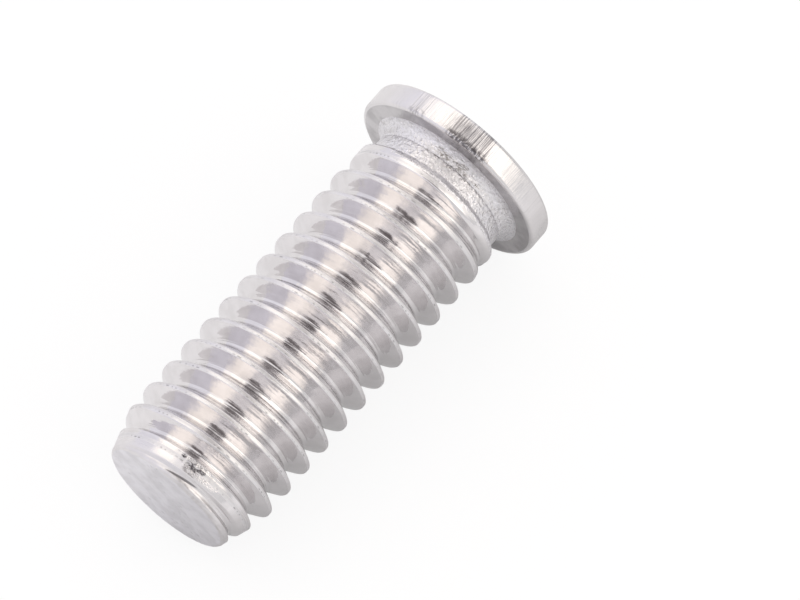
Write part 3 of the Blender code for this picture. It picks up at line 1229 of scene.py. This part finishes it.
GROUPS = (
    rolled_lines_group,
    grain_group,
    smudge_group,
    ring_lines_group,
    rim_lines_group,
    torn_group,
    scratches_group,
    pits_group,
)
FINISHES = {
    "rolled_thread": thread_material,
    "cut_end": end_material,
    "frosted_neck": neck_material,
    "flange_back": back_material,
    "drawn_rim": rim_material,
    "weld_face": weld_material,
    "ignition_tip": tip_material,
}


def white_floor(settings):
    """A pale floor that shows as white but keeps the stud's shadow."""
    material = bpy.data.materials.new("pale_floor")
    material.use_nodes = True
    tree = material.node_tree
    matte = tree.nodes["Principled BSDF"]
    matte.inputs["Base Color"].default_value = (*settings.floor, 1.0)
    matte.inputs["Roughness"].default_value = 0.7
    matte.inputs["Specular IOR Level"].default_value = 0.1
    glow = put(tree, "ShaderNodeEmission", {"Color": (1.0, 1.0, 1.0, 1.0), "Strength": 1.0})
    path = put(tree, "ShaderNodeLightPath").outputs
    seen = times(tree, path["Is Camera Ray"], FLOOR_SEEN)
    mirrored = larger(tree, path["Is Glossy Ray"], path["Is Transmission Ray"])
    mirrored = times(tree, mirrored, FLOOR_MIRRORED)
    side = split(tree, put(tree, "ShaderNodeTexCoord").outputs["Object"])[1]
    # Painted shadow: reflections see the floor's glow dimmed in a strip beside the stud.
    painted_shadow = times(tree, remap(tree, side, *DIM_OUTER), remap(tree, side, *DIM_INNER))
    shine = minus(tree, FLOOR_SHINE, times(tree, painted_shadow, DIM_STRIP))
    tree.links.new(larger(tree, shine, path["Is Camera Ray"]), glow.inputs["Strength"])
    mixed = put(tree, "ShaderNodeMixShader", {0: larger(tree, seen, mirrored)})
    tree.links.new(matte.outputs[0], mixed.inputs[1])
    tree.links.new(glow.outputs[0], mixed.inputs[2])
    tree.links.new(mixed.outputs[0], tree.nodes["Material Output"].inputs["Surface"])
    return material


def stage_sheet(name, corners, material):
    """A flat stage piece with four corners."""
    data = bpy.data.meshes.new(name)
    data.from_pydata(corners, [], [(0, 1, 2, 3)])
    data.materials.append(material)
    made = bpy.data.objects.new(name, data)
    bpy.context.scene.collection.objects.link(made)
    return made


def faded_glow(name, tint, strength, soft):
    """Even light that fades away towards the four sides of a sheet."""
    material = bpy.data.materials.new(name)
    material.use_nodes = True
    tree = material.node_tree
    tree.nodes.remove(tree.nodes["Principled BSDF"])
    glow = put(tree, "ShaderNodeEmission", {"Color": (*tint, 1.0), "Strength": strength})
    clear = put(tree, "ShaderNodeBsdfTransparent")
    x, y, _ = split(tree, put(tree, "ShaderNodeTexCoord").outputs["UV"])
    sides = []
    for value, width in zip((x, y), soft):
        off = sums(tree, "ABSOLUTE", minus(tree, value, 0.5))
        sides.append(remap(tree, off, 0.5, 0.5 - width, smooth=True))
    mixed = put(tree, "ShaderNodeMixShader", {0: times(tree, *sides)})
    tree.links.new(clear.outputs[0], mixed.inputs[1])
    tree.links.new(glow.outputs[0], mixed.inputs[2])
    tree.links.new(mixed.outputs[0], tree.nodes["Material Output"].inputs["Surface"])
    return material


def facing_sheet(name, middle, half, material, turn=0.0):
    """A sheet that faces the stud, its width along X but for a turn, hidden from the camera."""
    facing = -middle.normalized()
    wide = (Vector((1.0, 0.0, 0.0)) - facing * facing.x).normalized()
    wide.rotate(Quaternion(facing, turn))
    deep = facing.cross(wide) * half[1]
    wide = wide * half[0]
    corners = [middle - wide - deep, middle + wide - deep, middle + wide + deep, middle - wide + deep]
    sheet = stage_sheet(name, [tuple(corner) for corner in corners], material)
    layer = sheet.data.uv_layers.new(name="sheet")
    for corner, place in zip(layer.data, ((0, 0), (1, 0), (1, 1), (0, 1))):
        corner.uv = place
    sheet.visible_camera = False
    return sheet


class WELDSTUD_OT_stage(bpy.types.Operator):
    """Builds the floor, the room light, the two soft boxes and the dark card between them."""

    bl_idname = "weld_stud.stage"
    bl_label = "Floor and Lamps"

    def execute(self, context):
        settings = context.scene.weld_stud_stage
        far, low = FLOOR_HALF, FLOOR_LEVEL
        corners = [(-far, -far, low), (far, -far, low), (far, far, low), (-far, far, low)]
        stage_sheet("floor", corners, white_floor(settings))
        self.room(context, settings)
        self.soft_boxes(settings)
        self.dark_card(settings)
        context.scene.view_settings.view_transform = "Standard"
        return {"FINISHED"}

    def room(self, context, settings):
        """Light from all round, dimmer at the near side, white where the camera sees it."""
        world = bpy.data.worlds.new("pale_room")
        world.use_nodes = True
        context.scene.world = world
        tree = world.node_tree
        back = tree.nodes["Background"]
        way = put(tree, "ShaderNodeTexCoord").outputs["Generated"]
        along, side, height = split(tree, way)
        share_far = remap(tree, side, -0.35, 0.35, smooth=True)
        corner = remap(tree, along, 0.45, 0.7, smooth=True)
        near = blend(tree, corner, settings.room_near, settings.room_dim)
        walls = blend(tree, share_far, near, settings.room)
        tint = blend(tree, remap(tree, height, 0.55, 0.8, smooth=True), walls, settings.ceiling)
        tree.links.new(tint, back.inputs["Color"])
        back.inputs["Strength"].default_value = settings.room_light
        white = put(tree, "ShaderNodeBackground", {"Color": (1.0, 1.0, 1.0, 1.0), "Strength": 1.0})
        seen = put(tree, "ShaderNodeLightPath").outputs["Is Camera Ray"]
        mixed = put(tree, "ShaderNodeMixShader", {0: seen})
        tree.links.new(back.outputs[0], mixed.inputs[1])
        tree.links.new(white.outputs[0], mixed.inputs[2])
        tree.links.new(mixed.outputs[0], tree.nodes["World Output"].inputs["Surface"])

    def soft_boxes(self, settings):
        """Two broad lamps, one over the far side of the stud and one over its near side."""
        boxes = (
            ("far_soft_box", settings.far_box, FAR_BOX_HALF, settings.box_light, 0.0),
            ("near_soft_box", settings.near_box, NEAR_BOX_HALF, settings.near_light, settings.near_turn),
        )
        for name, way, shares, light, turn in boxes:
            glow = faded_glow(name, settings.box_colour, light, BOX_FADE)
            half = [part * settings.box_far for part in shares]
            facing_sheet(name, Vector(way) * settings.box_far, half, glow, turn)

    def dark_card(self, settings):
        """A dark card between the soft boxes that gives the steel its dark line."""
        material = faded_glow("dark_card", CARD_TINT, settings.card_light, CARD_FADE)
        card = facing_sheet("dark_card", Vector(settings.card), CARD_HALF, material, settings.card_turn)
        card.visible_diffuse = False
        card.visible_shadow = False


class WELDSTUD_OT_camera(bpy.types.Operator):
    """Stands the camera where the photograph was taken from."""

    bl_idname = "weld_stud.camera"
    bl_label = "Camera"

    def execute(self, context):
        settings = context.scene.weld_stud_stage
        data = bpy.data.cameras.new("camera")
        data.lens = settings.lens
        data.sensor_width = SENSOR_WIDTH
        data.clip_start = 0.001
        data.clip_end = 10.0
        made = bpy.data.objects.new("camera", data)
        turn, rise = settings.azimuth, settings.elevation
        level = math.cos(rise)
        back = Vector((math.sin(turn) * level, -math.cos(turn) * level, math.sin(rise)))
        made.rotation_mode = "QUATERNION"
        made.rotation_quaternion = (-back).to_track_quat("-Z", "Y")
        made.location = settings.camera
        context.scene.collection.objects.link(made)
        context.scene.camera = made
        return {"FINISHED"}


class WELDSTUD_PT_panel(bpy.types.Panel):
    """Lists what builds the stud and its studio."""

    bl_idname = "WELDSTUD_PT_panel"
    bl_label = "Weld Stud"
    bl_space_type = "VIEW_3D"
    bl_region_type = "UI"
    bl_category = "Weld Stud"

    def draw(self, context):
        layout = self.layout
        for operator in OPERATORS:
            layout.operator(operator.bl_idname)
        for store in STORES:
            settings = getattr(context.scene, store)
            box = layout.box()
            for name in settings.bl_rna.properties.keys():
                if name not in ("rna_type", "name"):
                    box.prop(settings, name)


OPERATORS = (WELDSTUD_OT_finishes, WELDSTUD_OT_stud, WELDSTUD_OT_stage, WELDSTUD_OT_camera)
STORES = {
    "weld_stud_sizes": WELDSTUD_PG_sizes,
    "weld_stud_finish": WELDSTUD_PG_finish,
    "weld_stud_stage": WELDSTUD_PG_stage,
}


def register():
    """Registers the settings, the operators and the panel."""
    for store, kind in STORES.items():
        bpy.utils.register_class(kind)
        setattr(bpy.types.Scene, store, PointerProperty(type=kind))
    for kind in (*OPERATORS, WELDSTUD_PT_panel):
        bpy.utils.register_class(kind)


def unregister():
    """Takes everything that was registered away again."""
    for kind in (WELDSTUD_PT_panel, *reversed(OPERATORS)):
        bpy.utils.unregister_class(kind)
    for store, kind in STORES.items():
        delattr(bpy.types.Scene, store)
        bpy.utils.unregister_class(kind)


def main():
    """Builds everything."""
    register()
    bpy.ops.weld_stud.finishes()
    bpy.ops.weld_stud.stud()
    bpy.ops.weld_stud.stage()
    bpy.ops.weld_stud.camera()


if __name__ == "__main__":
    main()
